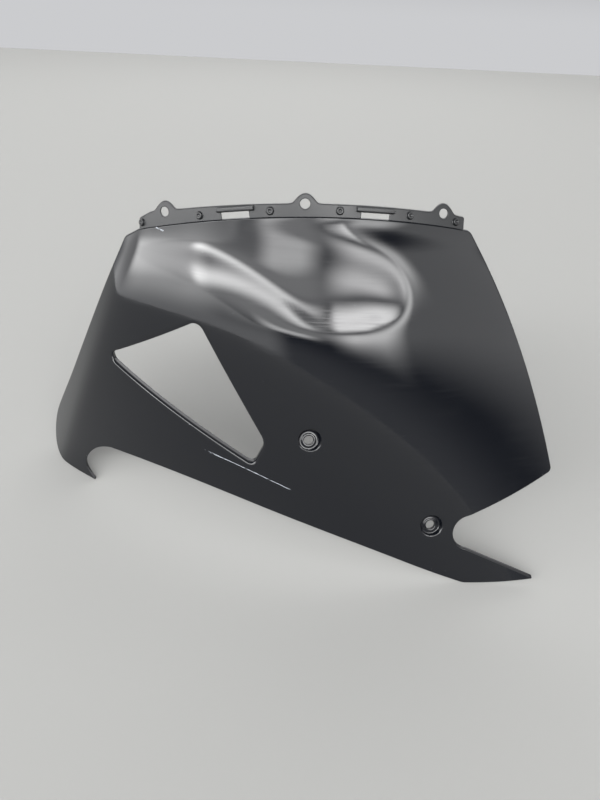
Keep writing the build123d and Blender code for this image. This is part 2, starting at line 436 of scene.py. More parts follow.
def fill(rings, spacing):
    """Triangles inside the first ring and outside the others.

    A grid of points in offset rows, those clear of the rings, joined to the rings by a constrained
    Delaunay triangulation. Ring points come first in the result.
    """
    border = np.vstack(rings)
    low, high = border.min(0), border.max(0)
    x, z = np.meshgrid(np.arange(low[0], high[0], spacing),
                       np.arange(low[1], high[1], GRID_ROW * spacing))
    x[1::2] += spacing / 2
    grid = np.stack((x.ravel(), z.ravel()), -1)
    grid = grid[inside(grid, rings)]
    grid = grid[clearance(grid, border) > GRID_CLEAR * spacing]
    points = np.vstack((border, grid))
    starts = np.cumsum([0] + [len(ring) for ring in rings])
    places = [np.arange(a, b) for a, b in zip(starts[:-1], starts[1:])]
    edges = np.vstack([np.stack((place, np.roll(place, -1)), -1) for place in places])
    made = delaunay_2d_cdt(points.tolist(), edges.tolist(), [], 0, 1e-7)
    if len(made[0]) != len(points):
        raise RuntimeError("two rings of the outline cross each other")
    faces = np.array(made[2])
    on_border = (faces < len(border)).all(1)
    middles = points[faces].mean(1)
    keep = ~on_border
    keep[on_border] = inside(middles[on_border], rings)
    faces = faces[keep]
    a, b, c = points[faces[:, 0]], points[faces[:, 1]], points[faces[:, 2]]
    turn = (b[:, 0] - a[:, 0]) * (c[:, 1] - a[:, 1]) - (b[:, 1] - a[:, 1]) * (c[:, 0] - a[:, 0])
    faces[turn < 0] = faces[turn < 0][:, ::-1]
    return points, faces, places


def band(indices):
    """Four-sided faces between rows of point numbers, each row closed on itself."""
    a, b = indices[:-1], indices[1:]
    quads = np.stack((np.roll(a, -1, 1), a, b, np.roll(b, -1, 1)), -1)
    return quads.reshape(-1, 4)


def shell(front, back, triangles, places, strips):
    """A closed wall: a front, the same triangles turned round as its back, and strips of rows that
    join each ring of the front to the same ring of the back."""
    count = len(front)
    points, faces, at = [front, back], [triangles, triangles[:, ::-1] + count], 2 * count
    for place, rows in zip(places, strips):
        numbers = at + np.arange(rows.shape[0] * rows.shape[1]).reshape(rows.shape[:2])
        faces.append(band(np.vstack((place, numbers, place + count))))
        points.append(rows.reshape(-1, 3))
        at += numbers.size
    return np.vstack(points), faces


def rim(path, profile, back=0.0):
    """A profile carried along a closed path: each row of it lies a distance to the left of the
    path and a distance through the wall."""
    profile = np.array(profile)
    flat = path[None] + profile[:, :1, None] * leftward(path)[None]
    return lift(flat, profile[:, 1:], back)


def quarter(radius, *degrees):
    """A quarter circle at angles: the radius times one less the sine, and one less the cosine."""
    turn = np.radians(np.array(degrees))
    return radius * (1 - np.sin(turn)), radius * (1 - np.cos(turn))


def edge_profile(radius, inner, wall):
    """Half of a plate's edge: a quarter circle at the outer face, the edge, a smaller one inside."""
    outer = np.stack(quarter(radius, 15, 30, 45, 60, 75, 90), -1)
    rise, fall = quarter(inner, 0, 30, 60, 90)
    return np.vstack((outer, np.stack((fall, wall - rise), -1)))


def meet(axis, places, radius, depth):
    """Heights along an axis at which a cone meets a face, by halving: the cone's point at a height
    is in front of the face where its depth is less."""
    low, high = (np.full(len(places), end) for end in MEET_RANGE)
    for _ in range(MEET_HALVINGS):
        middle = (low + high) / 2
        at = cone_points(axis, places, radius(middle), middle)
        behind = at[:, 1] > depth(at[:, ::2])
        low, high = np.where(behind, middle, low), np.where(behind, high, middle)
    return (low + high) / 2


def cone_points(axis, places, radius, height):
    """Points round an axis: centre + height along it + radius times (cosine, sine) across it."""
    centre, across, up, out = axis
    round_axis = np.cos(places)[:, None] * across + np.sin(places)[:, None] * up
    height, radius = (np.asarray(value).reshape(-1, 1) for value in (height, radius))
    return centre + height * out + radius * round_axis


def fixing_axis(x, z, recess_depth):
    """Centre of a recess floor, two directions across the bolt and the bolt's direction outwards."""
    lean, turn = math.radians(FIX_LEAN), math.radians(FIX_TURN)
    out = np.array((math.sin(turn) * math.cos(lean), -math.cos(turn) * math.cos(lean), math.sin(lean)))
    across = np.array((math.cos(turn), math.sin(turn), 0.0))
    centre = np.array((x, float(skin_depth(x, z)), z)) - recess_depth * out
    return centre, across, np.cross(out, across), out


def flange_axis(x, z):
    """A point of the flange's outer face, with directions along its edge, up and out."""
    along_x, along_z = (float(s) for s in slopes(np.float64(x), np.float64(z)))
    fall = (EDGE_MID - x) / EDGE_BEND
    out = unit(np.array((along_x, -1.0, along_z)))
    along = unit(np.array((1.0, along_x + along_z * fall, fall)))
    centre = np.array((x, float(skin_depth(x, z)) + FLANGE_SETBACK, z))
    return centre, along, np.cross(out, along), out


def write_mesh(name, points, faces, materials, slots=None, normals=None):
    """A mesh object in metres from points in millimetres and arrays of triangles and quads."""
    mesh = bpy.data.meshes.new(name)
    sizes = np.concatenate([np.full(len(f), f.shape[1]) for f in faces])
    mesh.vertices.add(len(points))
    mesh.vertices.foreach_set("co", (points * MM).astype(np.float32).ravel())
    mesh.loops.add(int(sizes.sum()))
    mesh.loops.foreach_set("vertex_index", np.concatenate([f.ravel() for f in faces]).astype(np.int32))
    mesh.polygons.add(len(sizes))
    starts = np.concatenate(([0], np.cumsum(sizes)[:-1]))
    mesh.polygons.foreach_set("loop_start", starts.astype(np.int32))
    mesh.polygons.foreach_set("use_smooth", np.ones(len(sizes), bool))
    if slots is not None:
        mesh.polygons.foreach_set("material_index", slots.astype(np.int32))
    mesh.update(calc_edges=True)
    if mesh.validate():
        raise RuntimeError(name + " has faces that are not valid")
    for material in materials:
        mesh.materials.append(material)
    if normals is not None:
        found = np.empty(3 * len(points), np.float32)
        mesh.vertex_normals.foreach_get("vector", found)
        found = found.reshape(-1, 3)
        found[:len(normals)] = normals
        mesh.normals_split_custom_set_from_vertices(found)
    made = bpy.data.objects.new(name, mesh)
    bpy.context.scene.collection.objects.link(made)
    return made


def add(tree, kind, links=None, values=None, **settings):
    """Adds a node with settings, values on its input sockets and links into them."""
    node = tree.nodes.new(kind)
    for key, value in settings.items():
        setattr(node, key, value)
    for key, value in (values or {}).items():
        node.inputs[key].default_value = value
    for key, socket in (links or {}).items():
        tree.links.new(socket, node.inputs[key])
    return node


def span(*ends):
    """Values of a linear map: the low and high end that it starts from, and those that it gives."""
    return dict(zip(("From Min", "From Max", "To Min", "To Max"), ends))


def marks(tree, place, detail, size, width=None, turn=0.0):
    """Noise in marks of a size, or in long ones of a size and a width, turned by degrees round y."""
    scale = [1 / (length * MM) for length in (size, size, width or size)]
    drawn = add(tree, "ShaderNodeMapping", {"Vector": place},
                {"Scale": scale, "Rotation": (0.0, math.radians(turn), 0.0)}).outputs[0]
    return add(tree, "ShaderNodeTexNoise", {"Vector": drawn},
               {"Scale": 1.0, "Detail": detail}).outputs["Fac"]


def scratch_and_glint_line(tree, place, start, end, sag, width):
    """One where a point is within half a width of a line mark, seen along y. The marks are scratches
    and one short dash that is a painted highlight. Along and across are the point's lengths in the
    line's direction and at right angles to it, and the line sags by a parabola between its ends. Noise
    breaks the line and thins it."""
    run = np.subtract(end, start) * MM
    size = float(np.linalg.norm(run))
    along_way, across_way = run / size, np.array((-run[1], run[0])) / size
    origin = (start[0] * MM, 0.0, start[1] * MM)
    from_start = add(tree, "ShaderNodeVectorMath", {0: place}, {1: origin},
                     operation="SUBTRACT").outputs[0]
    along, across = (add(tree, "ShaderNodeVectorMath", {0: from_start}, {1: (way[0], 0.0, way[1])},
                         operation="DOT_PRODUCT").outputs["Value"] for way in (along_way, across_way))
    share = add(tree, "ShaderNodeMath", {0: along}, {1: size}, operation="DIVIDE").outputs[0]
    rest = add(tree, "ShaderNodeMath", {1: share}, {0: 1.0}, operation="SUBTRACT").outputs[0]
    both = add(tree, "ShaderNodeMath", {0: share, 1: rest}, operation="MULTIPLY").outputs[0]
    off = add(tree, "ShaderNodeMath", {0: both, 2: across}, {1: -4 * sag * MM},
              operation="MULTIPLY_ADD").outputs[0]
    apart = add(tree, "ShaderNodeMath", {0: off}, operation="ABSOLUTE").outputs[0]
    limit = add(tree, "ShaderNodeMapRange", {"Value": marks(tree, place, 3, SCRATCH_AND_GLINT_BREAK)},
                span(0.25, 0.6, 0.0, width * MM / 2)).outputs["Result"]
    near = add(tree, "ShaderNodeMath", {0: apart, 1: limit}, operation="LESS_THAN").outputs[0]
    between = add(tree, "ShaderNodeMapRange", {"Value": both},
                  span(0.0, 0.03, 0.0, 1.0)).outputs["Result"]
    return add(tree, "ShaderNodeMath", {0: near, 1: between}, operation="MULTIPLY").outputs[0]


def dust(tree, place):
    """One inside round specks: one point in each cell, kept in a share of the cells."""
    cells = add(tree, "ShaderNodeTexVoronoi", {"Vector": place},
                {"Scale": 1 / (DUST_CELL * MM), "Randomness": 1.0})
    kept = add(tree, "ShaderNodeMapRange", {"Value": cells.outputs["Color"]},
               span(1 - DUST_SHARE, 1.0, 0.0, DUST_SIZE / 2 / DUST_CELL)).outputs["Result"]
    return add(tree, "ShaderNodeMath", {0: cells.outputs["Distance"], 1: kept},
               operation="LESS_THAN").outputs[0]


def finish(make, index, look):
    """A moulded finish with a refractive index, named like the function that makes its patterns from
    the object's own coordinates: the share of its second colour, both colours, the roughness, and
    the relief with its height."""
    material = bpy.data.materials.new(make.__name__)
    material.use_nodes = True
    tree = material.node_tree
    shader = tree.nodes["Principled BSDF"]
    shader.inputs["IOR"].default_value = index
    place = add(tree, "ShaderNodeTexCoord").outputs["Object"]
    share, colours, rough, relief, height = make(tree, place, look)
    colour = add(tree, "ShaderNodeMix", {0: share}, {6: (*colours[0], 1), 7: (*colours[1], 1)},
                 data_type="RGBA").outputs[2]
    bump = add(tree, "ShaderNodeBump", {"Height": relief}, {"Strength": 1.0, "Distance": height * MM})
    for socket, value in (("Base Color", colour), ("Roughness", rough), ("Normal", bump.outputs[0])):
        tree.links.new(value, shader.inputs[socket])
    return material


def gloss_black_abs(tree, place, look):
    """Injection-moulded ABS out of a polished mould: deep black with mirror-like gloss. It shows a
    faint ripple from moulding, wiping marks along it, dull patches from hands, dust, a long scratch
    with a lighter one beside it, and a painted highlight: a short light-grey dash at the top edge that
    stands in for a glint of light."""
    # Roughness 0.035 where it is clean, 0.09 under hand marks, 0.07 more in wiping marks, 0.5 in wear
    # and in the painted glint
    handled = marks(tree, place, 5, HAND_MARK)
    wiped = marks(tree, place, 3, WIPE_LENGTH, WIPE_WIDTH, WIPE_TURN)
    dull = add(tree, "ShaderNodeMapRange", {"Value": handled},
               span(0.42, 0.72, 0.035, 0.09)).outputs["Result"]
    duller = add(tree, "ShaderNodeMapRange", {"Value": wiped},
                 span(0.45, 0.7, 0.0, 0.07)).outputs["Result"]
    rough = add(tree, "ShaderNodeMath", {0: duller, 1: dull}, operation="ADD").outputs[0]
    # Light grey in dust specks and scratches, and in the short dash at the top edge, which is a painted
    # highlight
    worn_and_glint = dust(tree, place)
    for spots in SCRATCHES_AND_GLINT:
        line = scratch_and_glint_line(tree, place, *spots)
        worn_and_glint = add(tree, "ShaderNodeMath", {0: worn_and_glint, 1: line}, operation="MAXIMUM").outputs[0]
    rough = add(tree, "ShaderNodeMix", {0: worn_and_glint, 2: rough}, {3: 0.5}).outputs[0]
    return worn_and_glint, (look.skin, look.worn_and_glint), rough, marks(tree, place, 2, RIPPLE_SIZE), RIPPLE_HEIGHT


def satin_black_abs(tree, place, look):
    """The same ABS out of a spark-eroded mould: a fine grain that spreads the light, so it looks dark
    grey, with dust that is lighter in patches. The grain is drawn twice as coarse as the real one,
    so that it shows."""
    dusty = marks(tree, place, 5, SATIN_PATCH)
    rough = add(tree, "ShaderNodeMapRange", {"Value": dusty},
                span(0.3, 0.7, 0.3, 0.46)).outputs["Result"]
    return dusty, (look.satin, look.satin_dust), rough, marks(tree, place, 3, GRAIN_SIZE), GRAIN_HEIGHT


def matt_black_abs(tree, place, look):
    """The same ABS out of an unpolished mould half: dull and greyer than the outer side, with long
    shallow marks of the mould's cutter and road dust in patches."""
    dusty = add(tree, "ShaderNodeMapRange", {"Value": marks(tree, place, 6, INNER_PATCH)},
                span(0.4, 0.68, 0.0, 1.0)).outputs["Result"]
    rough = add(tree, "ShaderNodeMapRange", {"Value": dusty},
                span(0.0, 1.0, 0.4, 0.6)).outputs["Result"]
    cuts = marks(tree, place, 2, CUT_LENGTH, CUT_WIDTH, CUT_TURN)
    return dusty, (look.inner, look.inner_dust), rough, cuts, CUT_DEPTH


def direction(azimuth, elevation):
    """A unit vector. Azimuth is counted from straight in front of the panel, to the right."""
    turn, rise = math.radians(azimuth), math.radians(elevation)
    return np.array((math.sin(turn) * math.cos(rise), -math.cos(turn) * math.cos(rise), math.sin(rise)))


def softbox(name, start, end, height, radiance, fades, aim=LAMP_AIM, distance=LAMP_DISTANCE):
    """A flat lamp seen from its aim between two directions, with an angle for its height. It is
    bright in the middle and fades to its ends and sides by a smooth step over a share of its half
    width and half height. Its power is radiance x pi x area."""
    ends = [aim + distance * direction(*way) for way in (start, end)]
    centre = (ends[0] + ends[1]) / 2
    along = Vector(ends[1] - ends[0])
    away = Vector(centre - aim)
    lamp = bpy.data.lights.new(name, "AREA")
    lamp.shape = "RECTANGLE"
    lamp.size, lamp.size_y = along.length, 2 * away.length * math.tan(math.radians(height / 2))
    lamp.energy = radiance * math.pi * lamp.size * lamp.size_y
    lamp.use_nodes = True
    tree = lamp.node_tree
    place = add(tree, "ShaderNodeNewGeometry").outputs["Parametric"]
    middle = add(tree, "ShaderNodeVectorMath", {0: place}, {1: (0.5, 0.5, 0.0)},
                 operation="SUBTRACT").outputs[0]
    sides = add(tree, "ShaderNodeVectorMath", {0: middle}, operation="ABSOLUTE").outputs[0]
    axes = add(tree, "ShaderNodeSeparateXYZ", {0: sides})
    falls = [add(tree, "ShaderNodeMapRange", {"Value": axes.outputs[i]},
                 span(0.5, 0.5 * (1 - fade), 0.0, 1.0),
                 interpolation_type="SMOOTHSTEP").outputs["Result"] for i, fade in enumerate(fades)]
    glow = add(tree, "ShaderNodeMath", {0: falls[0], 1: falls[1]}, operation="MULTIPLY").outputs[0]
    tree.links.new(glow, tree.nodes["Emission"].inputs["Strength"])
    made = bpy.data.objects.new(name, lamp)
    along.normalize()
    back = (away - away.dot(along) * along).normalized()
    turn = Matrix((along, back.cross(along), back)).transposed().to_4x4()
    made.matrix_world = Matrix.Translation(centre) @ turn
    made.visible_camera = False
    bpy.context.scene.collection.objects.link(made)


def length(name, description, default):
    """A length property, given in millimetres and held in metres."""
    return bpy.props.FloatProperty(name=name, description=description, default=default * MM,
                                   min=0.0, unit="LENGTH", subtype="DISTANCE", precision=5)


def tint(name, description, default):
    """A colour property from an sRGB hex value."""
    return bpy.props.FloatVectorProperty(name=name, description=description, subtype="COLOR",
                                         size=3, min=0.0, max=1.0, default=linear(default))


class FAIRING_PG_skin(bpy.types.PropertyGroup):
    wall: length("Wall", "Thickness of the skin", 3.0)
    edge_round: length("Edge rounding", "Radius of the skin's outer edge", 0.8)
    vent_roll: length("Vent roll", "Radius of the vent's outer rim", 2.4)
    vent_depth: length("Vent depth", "Depth of the vent's rim behind the outer face", 6.5)
    recess_floor: length("Recess floor", "Diameter of a fixing recess at its floor", 16.4)
    recess_depth: length("Recess depth", "Depth of a fixing recess at its middle", 3.6)
    fixing_hole: length("Fixing hole", "Diameter of the bolt holes", 8.0)
    spacing: length("Point spacing", "Distance between points of the skin's mesh", 3.0)


class FAIRING_PG_flange(bpy.types.PropertyGroup):
    wall: length("Wall", "Thickness of the flange", 2.6)
    edge_round: length("Edge rounding", "Radius of the flange's edges", 0.6)
    tab_hole: length("Tab hole", "Diameter of the holes in the tabs", 8.0)
    stud_size: length("Stud size", "Diameter of the studs", 5.8)
    stud_height: length("Stud height", "How far the studs stand out", 2.0)
    rib_length: length("Rib length", "Length of the ribs above the slots", 31.0)
    rib_width: length("Rib width", "Width of the ribs", 3.6)
    rib_height: length("Rib height", "How far the ribs stand out", 2.6)
    spacing: length("Point spacing", "Distance between points of the flange's mesh", 2.0)


class FAIRING_PG_finish(bpy.types.PropertyGroup):
    skin: tint("Skin", "Colour of the gloss plastic", "#080a0f")
    satin: tint("Satin", "Colour of the flange", "#0c0d0f")
    satin_dust: tint("Satin dust", "Colour of the satin plastic under dust", "#181a1d")
    inner: tint("Inner side", "Colour of the matt plastic inside", "#25272a")
    inner_dust: tint("Inner dust", "Colour of the matt plastic under dust", "#34373a")
    # Also the colour of the painted highlight: the short dash at the top edge that stands in for a glint
    worn_and_glint: tint("Worn", "Colour of scratches and specks in the gloss plastic", "#8d9298")
    floor: tint("Floor", "Colour of the studio floor", "#a3a3a1")
    world: tint("Surroundings", "Colour of the light from all round", "#f4f5f8")


def materials(context):
    """The three finishes of the moulding: gloss outside, satin on the flange, matt inside."""
    look, found = context.scene.fairing_finish, bpy.data.materials
    # Each with its refractive index
    makers = ((gloss_black_abs, 1.5), (satin_black_abs, 1.53), (matt_black_abs, 1.5))
    return [found.get(make.__name__) or finish(make, index, look) for make, index in makers]


def skin_outline(spacing):
    """Closed outline of the skin, seen along y, with its corners rounded."""
    start = (STRIP_FRONT, edge_line(STRIP_FRONT))
    end = (REAR_TOP_X, edge_line(REAR_TOP_X))
    middle = (STRIP_FRONT + REAR_TOP_X) / 2
    rake = np.subtract(NOSE_TOP, FRONT_TOP)
    nose = curve_through([NOSE_TOP, NOSE_BELLY, NOSE_HIGH, NOSE_LOW, NOSE_FOOT], [rake, (1, 0)])
    pieces = [
        arc_through(start, (middle, edge_line(middle)), end),
        arc_through(end, REAR_BELLY, REAR_CORNER),
        straight(REAR_CORNER, NOTCH_UPPER),
        arc_through(NOTCH_UPPER, NOTCH_ROOT, NOTCH_LOWER),
        straight(NOTCH_LOWER, TAIL_TIP),
        arc_through(TAIL_TIP, TAIL_SOLE, TOE),
        curve_through([TOE, *SOLE, ARCH_TOP]),
        curve_through([ARCH_TOP, ARCH_ROUND, ARCH_BACK, FOOT_REAR]),
        straight(FOOT_REAR, NOSE_FOOT),
        nose[::-1],
        straight(NOSE_TOP, FRONT_TOP),
        straight(FRONT_TOP, start),
    ]
    cuts = [3.0, 3.2, 2.0, 2.0, 3.6, 2.0, 1.5, 4.2, 1.0, 1.0, 3.0, 2.0]
    return turned(closed_path(pieces, cuts, spacing))


def vent_outline(spacing):
    """Closed outline of the vent: four sides with rounded corners."""
    corners = np.array(VENT_CORNERS)
    sides = [straight(a, b) for a, b in zip(corners, np.roll(corners, -1, 0))]
    cuts = []
    for i, radius in enumerate(VENT_ROUNDS[1:] + VENT_ROUNDS[:1]):
        a, b = sides[i][0] - sides[i][-1], sides[(i + 1) % 4][-1] - sides[(i + 1) % 4][0]
        between = math.acos(float(unit(a) @ unit(b)))
        cuts.append(radius / math.tan(between / 2))
    return turned(closed_path(sides, cuts, spacing), left=False)


def recess_rows(axis, ring, places, size):
    """Rows of a fixing point from the outer face to the inner one: the recess's cone and floor, the
    collar, the bolt hole, the boss behind it and the boss's cone."""
    floor = size.recess_floor / MM / 2
    hole, wall = size.fixing_hole / MM / 2, size.wall / MM
    roll, small = RECESS_ROLL, RECESS_FOOT

    def outer(h):
        return floor + RECESS_DRAFT * h

    def boss(h):
        return floor + BOSS_WALL + RECESS_DRAFT * (h + wall)

    def turn(radius, height):
        return cone_points(axis, places, np.full(len(places), radius), np.full(len(places), height))

    def fillet(cone, through):
        height = meet(axis, places, cone, lambda flat: lift(flat, through)[:, 1])
        corner = cone_points(axis, places, cone(height), height)
        on_skin = lift(corner[:, ::2] + roll * unit(ring - corner[:, ::2]), through)
        on_cone = cone_points(axis, places, cone(height - roll), height - roll)
        return on_skin, corner, on_cone

    top, corner, low = fillet(outer, 0.0)
    rows = [lift(ring + f * (top[:, ::2] - ring), 0.0) for f in (0.35, 0.7)]
    rows += [top, *bend(top, corner, low, 5), low]
    foot, flat = turn(outer(small), small), turn(floor - small, 0)
    rows += [foot, *bend(foot, turn(floor, 0), flat, 3), flat]
    collar = [(COLLAR_RADIUS + 0.35, 0), (COLLAR_RADIUS + 0.08, 0.1), (COLLAR_RADIUS, 0.35),
              (COLLAR_RADIUS, 0.5), (COLLAR_RADIUS - 0.1, 0.7), (COLLAR_RADIUS - 0.35, COLLAR_HEIGHT)]
    bore = [(hole + 0.4, COLLAR_HEIGHT), (hole + 0.1, 0.7), (hole, 0.4), (hole, 0.3 - wall),
            (hole + 0.1, 0.1 - wall), (hole + 0.4, -wall), (boss(-wall) - small, -wall)]
    rows += [turn(*spot) for spot in collar + bore]
    side = turn(boss(small - wall), small - wall)
    rows += [*bend(rows[-1], turn(boss(-wall), -wall), side, 3), side]
    top, corner, low = fillet(boss, wall)
    rows += [low, *bend(low, corner, top, 4), top]
    rows += [lift(ring + f * (top[:, ::2] - ring), wall) for f in (0.6, 0.3)]
    return np.stack(rows)


class FAIRING_OT_skin(bpy.types.Operator):
    """Builds the outer skin with its vent rim and its two recessed fixing points"""
    bl_idname = "fairing.skin"
    bl_label = "Build skin"

    def execute(self, context):
        size = context.scene.fairing_skin
        spacing, wall, edge = size.spacing / MM, size.wall / MM, size.edge_round / MM
        roll, depth = size.vent_roll / MM, size.vent_depth / MM
        outline, vent = skin_outline(SKIN_STEP), vent_outline(VENT_STEP)
        round_lip = VENT_LIP_ROUND
        lip = wall + round_lip
        outer_ring = outline + edge * leftward(outline)
        vent_ring = vent + lip * leftward(vent)
        places = -np.linspace(0, 2 * math.pi, RECESS_SIDES, endpoint=False)
        circle = np.stack((np.cos(places), np.sin(places)), -1)
        circles = [np.array(spot) + RECESS_RING * circle for spot in FIX_PLACES]
        points, triangles, numbers = fill([outer_ring, vent_ring, *circles], spacing)

        rolled = np.stack(quarter(roll, 0, 15, 30, 45, 60, 75, 90), -1)
        rise, fall = quarter(round_lip, 0, 30, 60, 90)
        inner = np.stack((fall, depth - rise), -1)
        outer = np.stack((wall - rise, depth - fall), -1)
        foot = np.array([(wall, lip), (wall + 0.3 * round_lip, wall + 0.3 * round_lip)])
        vent_profile = np.vstack((rolled, [(0, (roll + depth) / 2)], inner, outer, foot))
        strips = [rim(outline, edge_profile(edge, SKIN_INNER_ROUND, wall)[:-1]), rim(vent, vent_profile)]
        for (x, z), ring in zip(FIX_PLACES, circles):
            axis = fixing_axis(x, z, size.recess_depth / MM)
            strips.append(recess_rows(axis, ring, places, size))

        front, back = lift(points, 0.0), lift(points, wall)
        verts, faces = shell(front, back, triangles, numbers, strips)
        facing = outward(points)
        gloss, _, matt = materials(context)
        slots = np.concatenate([np.zeros(len(triangles)), np.ones(len(triangles))]
                               + [np.zeros(len(f)) for f in faces[2:]])
        made = write_mesh("outer_skin", verts, faces, [gloss, matt], slots,
                          np.vstack((facing, -facing)))
        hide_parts(NODE)
        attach(made, BODY)
        return {"FINISHED"}


def flange_outline(spacing):
    """Closed outline of the flange: a strip whose top edge falls at the front end and swells into
    three bell-shaped tabs. The top is the greater of strip and bells, rounded where they meet."""
    x = np.linspace(STRIP_FRONT, STRIP_REAR, STRIP_POINTS)
    fall = FRONT_DROP * np.clip((FRONT_SHOULDER - x) / (FRONT_SHOULDER - STRIP_FRONT), 0, 1)
    side, up = TAB_SHOULDER
    bell = [(-TAB_HALF, -TAB_SINK), (-side, up), (0, TAB_TOP), (side, up), (TAB_HALF, -TAB_SINK)]
    curve = curve_through(bell, [(1, 0.3), (1, -0.3)])
    reach = TAB_HALF + TAB_FOOT
    curve = np.vstack(([-reach, -TAB_FOOT], curve, [reach, -TAB_FOOT]))
    bells = np.max([np.interp(x - place, curve[:, 0], curve[:, 1]) for place, _ in TAB_SPOTS], 0)
    top = -soft_least(-bells, fall, TAB_BLEND)
    upper = np.stack((x, strip_line(x) + top), -1)
    lower = np.stack((x, edge_line(x) - STRIP_TUCK), -1)
    pieces = [lower, straight(lower[-1], upper[-1]), upper[::-1], straight(upper[0], lower[0])]
    return turned(closed_path(pieces, FLANGE_CUTS, spacing))


def slot_outline(x, rib_width, spacing):
    """Closed outline of a slot: a rectangle with small corner rounds, turned to the edge's slope."""
    fall = math.atan((EDGE_MID - x) / EDGE_BEND)
    low = edge_line(x) - SLOT_TUCK
    high = strip_line(x) - RIB_DROP - rib_width / 2 + SLOT_COVER
    half, tall = SLOT_LENGTH / 2, (high - low) / 2
    corners = np.array([(-half, -tall), (half, -tall), (half, tall), (-half, tall)])
    turn = np.array([(math.cos(fall), math.sin(fall)), (-math.sin(fall), math.cos(fall))])
    corners = corners @ turn + (x, (low + high) / 2)
    sides = [straight(a, b) for a, b in zip(corners, np.roll(corners, -1, 0))]
    return turned(closed_path(sides, [SLOT_CORNER] * 4, spacing), left=False)


class FAIRING_OT_flange(bpy.types.Operator):
    """Builds the set-back flange with its tabs, holes and slots"""
    bl_idname = "fairing.flange"
    bl_label = "Build flange"

    def execute(self, context):
        size = context.scene.fairing_flange
        wall, edge = size.wall / MM, size.edge_round / MM
        hole, rib = size.tab_hole / MM / 2, size.rib_width / MM
        outline = flange_outline(FLANGE_STEP)
        places = np.linspace(0, 2 * math.pi, HOLE_SIDES, endpoint=False)
        circle = hole * np.stack((np.cos(places), np.sin(places)), -1)
        holes = [slot_outline(x, rib, FLANGE_STEP) for x in RIB_PLACES]
        for spot in TAB_SPOTS:
            _, along, up, _ = flange_axis(*spot)
            holes.append(turned(np.array(spot) + circle @ np.stack((along, up))[:, ::2], left=False))
        paths = [outline, *holes]
        rings = [path + edge * leftward(path) for path in paths]
        points, triangles, numbers = fill(rings, size.spacing / MM)
        profile = edge_profile(edge, FLANGE_INNER_ROUND, wall)
        strips = [rim(path, profile, FLANGE_SETBACK) for path in paths]
        front, back = lift(points, 0.0, FLANGE_SETBACK), lift(points, wall, FLANGE_SETBACK)
        verts, faces = shell(front, back, triangles, numbers, strips)
        facing = outward(points)
        made = write_mesh("top_flange", verts, faces, materials(context)[1:2], None,
                          np.vstack((facing, -facing)))
        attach(made, BODY)
        return {"FINISHED"}


def stack(path, profile, axes):
    """Closed buttons on planes: rows of a closed path, each drawn in by a distance and raised by a
    height, and a point in the middle of the first and the last row."""
    inset, height = np.array(profile).T
    left = leftward(path)
    flat = path[None] + inset[:, None, None] * left[None]
    rows, columns = flat.shape[:2]
    local = np.concatenate((flat.reshape(-1, 2), path.mean(0)[None], path.mean(0)[None]))
    raise_by = np.concatenate((np.repeat(height, columns), height[[0, -1]]))
    numbers = np.arange(rows * columns).reshape(rows, columns)
    sides = band(numbers[::-1])
    first, last = rows * columns, rows * columns + 1
    ring = numbers[0]
    base = np.stack((np.roll(ring, -1), ring, np.full(columns, first)), -1)
    ring = numbers[-1]
    cap = np.stack((ring, np.roll(ring, -1), np.full(columns, last)), -1)
    points, quads, fans = [], [], []
    for i, (centre, along, up, out) in enumerate(axes):
        points.append(centre + local[:, :1] * along + local[:, 1:] * up + raise_by[:, None] * out)
        quads.append(sides + i * len(local))
        fans.append(np.vstack((base, cap)) + i * len(local))
    return np.vstack(points), [np.vstack(quads), np.vstack(fans)]


def button_profile(height, sunk, fillet, roll):
    """Profile of a button: a foot that flares, a side with draft and a rounded top edge."""
    rise, fall = quarter(roll, 0, 20, 45, 70, 90)
    top = np.stack((BUTTON_DRAFT + fall, height - rise), -1)
    foot = [(-fillet, -sunk), (-fillet, 0.0), (-0.4 * fillet, 0.12 * fillet),
            (-0.12 * fillet, 0.4 * fillet), (0.0, fillet)]
    return np.vstack((foot, top))


class FAIRING_OT_studs(bpy.types.Operator):
    """Builds the round studs on the flange"""
    bl_idname = "fairing.studs"
    bl_label = "Build studs"

    def execute(self, context):
        size = context.scene.fairing_flange
        places = np.linspace(0, 2 * math.pi, STUD_SIDES, endpoint=False)
        circle = size.stud_size / MM / 2 * np.stack((np.cos(places), np.sin(places)), -1)
        axes = [flange_axis(x, edge_line(x) + STUD_RISE) for x in STUD_PLACES]
        high = size.stud_height / MM
        dimple = [(inset, high - sink) for inset, sink in STUD_DIMPLE]
        button = button_profile(high, size.wall / MM / 3, STUD_FOOT, STUD_ROLL)
        profile = np.vstack((button, dimple))
        verts, faces = stack(turned(circle), profile, axes)
        made = write_mesh("flange_studs", verts, faces, materials(context)[1:2])
        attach(made, BODY)
        return {"FINISHED"}


class FAIRING_OT_ribs(bpy.types.Operator):
    """Builds the short ribs above the slots"""
    bl_idname = "fairing.ribs"
    bl_label = "Build ribs"

    def execute(self, context):
        size = context.scene.fairing_flange
        half, high = size.rib_length / MM / 2, size.rib_width / MM / 2
        corners = np.array([(-half, -high), (half, -high), (half, high), (-half, high)])
        sides = [straight(a, b) for a, b in zip(corners, np.roll(corners, -1, 0))]
        path = turned(closed_path(sides, [RIB_CORNER] * 4, RIB_STEP))
        axes = [flange_axis(x, strip_line(x) - RIB_DROP) for x in RIB_PLACES]
        profile = button_profile(size.rib_height / MM, size.wall / MM / 3, RIB_FOOT, RIB_ROLL)
        verts, faces = stack(path, profile, axes)
        made = write_mesh("flange_ribs", verts, faces, materials(context)[1:2])
        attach(made, BODY)
        return {"FINISHED"}


